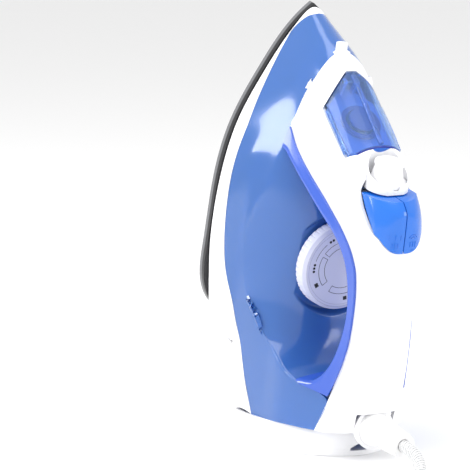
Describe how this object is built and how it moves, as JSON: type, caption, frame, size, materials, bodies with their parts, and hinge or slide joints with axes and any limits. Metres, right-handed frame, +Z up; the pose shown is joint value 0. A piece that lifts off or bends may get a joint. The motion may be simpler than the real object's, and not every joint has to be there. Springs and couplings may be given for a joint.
{
  "type": "steam iron",
  "caption": "Steam iron standing on its heel: coated soleplate, translucent water tank, white handle with spray and steam buttons, filler lid, temperature dial and cord with plug.",
  "frame": {"origin": "on the floor under the middle of the heel foot, with the iron standing on its heel", "axes": "+Z up, from heel to tip; +X from the ironing face towards the handle; Y across the iron, mirror symmetric about Y = 0 apart from the cord"},
  "size_m": [0.3833, 0.1191, 0.2697],
  "materials": {
    "sole_coating": "satin ceramic coat",
    "element_steel": "satin",
    "chamber_aluminium": "satin",
    "screw_steel": "satin",
    "casing_white": "satin",
    "tank_blue": "gloss, translucent",
    "liner_blue": "gloss",
    "tank_floor_grey": "satin",
    "thermostat_steel": "satin",
    "dial_white": "satin",
    "valve_brass": "satin",
    "pump_white": "satin",
    "tube_silicone": "matte",
    "button_blue": "gloss",
    "lid_clear_blue": "gloss, clear",
    "seal_rubber": "matte",
    "funnel_blue": "satin",
    "guard_white": "satin",
    "cord_braid": "braided textile",
    "plug_white": "satin",
    "pin_nickel": "satin nickel"
  },
  "bodies": {
    "iron": {"soleplate": "sole_coating", "heating_element": "element_steel", "steam_chamber_cover": "chamber_aluminium", "chamber_screws": "screw_steel", "heel_screws": "screw_steel", "skirt": "casing_white", "tank_shell": "tank_blue", "handle_liner": "liner_blue", "handle_cover": "casing_white", "heel_foot": "casing_white", "tank_floor": "tank_floor_grey", "thermostat": "thermostat_steel", "dial_sleeve": "tank_floor_grey", "thermal_fuse": "chamber_aluminium", "knob_housing": "casing_white", "drip_valve": "valve_brass", "spray_pump_body": "pump_white", "burst_pump_body": "pump_white", "spray_spring": "screw_steel", "burst_spring": "screw_steel", "spray_suction_tube": "tube_silicone", "burst_suction_tube": "tube_silicone", "spray_tube": "tube_silicone", "burst_tube": "tube_silicone", "button_pin": "element_steel", "pin_brackets": "pump_white", "lid_pin": "element_steel", "inlet_funnel": "funnel_blue", "inlet_seal": "seal_rubber", "spray_nozzle": "casing_white", "terminal_block": "pump_white", "cord_clamp": "pump_white", "swivel_seat": "casing_white"},
    "dial": {"temperature_dial": "dial_white", "dial_shaft": "casing_white"},
    "regulator": {"steam_knob": "casing_white"},
    "valve": {"valve_rod": "element_steel"},
    "spray_rocker": {"spray_button": "button_blue"},
    "burst_rocker": {"burst_button": "button_blue"},
    "spray_plunger": {"spray_piston": "pump_white"},
    "burst_plunger": {"burst_piston": "pump_white"},
    "lid": {"filler_lid": "lid_clear_blue", "lid_plug": "seal_rubber"},
    "swivel": {"swivel_ball": "guard_white", "cord_guard": "guard_white", "cord": "cord_braid", "cord_tail": "cord_braid", "cord_coil": "cord_braid", "plug": "plug_white", "plug_pins": "pin_nickel"}
  },
  "joints": [
    {"name": "dial_turn", "type": "hinge", "parent": "iron", "child": "dial", "pos_m": [0.0105, 0, 0.1126], "axis": [0.9781, 0, -0.2079], "range_deg": [-300, 0]},
    {"name": "regulator_turn", "type": "hinge", "parent": "iron", "child": "regulator", "pos_m": [0.06796, 0, 0.16889], "axis": [0.2924, 0, 0.9563], "range_deg": [0, 90]},
    {"name": "valve_lift", "type": "slide", "parent": "iron", "child": "valve", "axis": [0.9781, 0, -0.2079], "range_m": [0, 0.0031]},
    {"name": "spray_press", "type": "hinge", "parent": "iron", "child": "spray_rocker", "pos_m": [0.07361, 0, 0.12577], "axis": [0, -1, 0], "range_deg": [0, 5], "stiffness_Nm_per_rad": 0.8, "springref_deg": -8.59},
    {"name": "burst_press", "type": "hinge", "parent": "iron", "child": "burst_rocker", "pos_m": [0.07361, 0, 0.12577], "axis": [0, -1, 0], "range_deg": [0, 5], "stiffness_Nm_per_rad": 0.8, "springref_deg": -8.59},
    {"name": "spray_pump", "type": "slide", "parent": "iron", "child": "spray_plunger", "axis": [-0.9781, 0, 0.2079], "range_m": [0, 0.0028], "deforming": ["spray_spring"]},
    {"name": "burst_pump", "type": "slide", "parent": "iron", "child": "burst_plunger", "axis": [-0.9781, 0, 0.2079], "range_m": [0, 0.0028], "deforming": ["burst_spring"]},
    {"name": "lid_open", "type": "hinge", "parent": "iron", "child": "lid", "pos_m": [0.02534, 0, 0.2242], "axis": [0, -1, 0], "range_deg": [0, 80]},
    {"name": "cord_swivel", "type": "hinge", "parent": "iron", "child": "swivel", "pos_m": [0.0575, 0, 0.0194], "axis": [0, 0, 1], "range_deg": [-35, 35]}
  ],
  "couplings": [
    {"joint": "valve_lift", "follows": "regulator_turn", "m_per_rad": 0.0019},
    {"joint": "spray_pump", "follows": "spray_press", "m_per_rad": 0.03},
    {"joint": "burst_pump", "follows": "burst_press", "m_per_rad": 0.03}
  ]
}
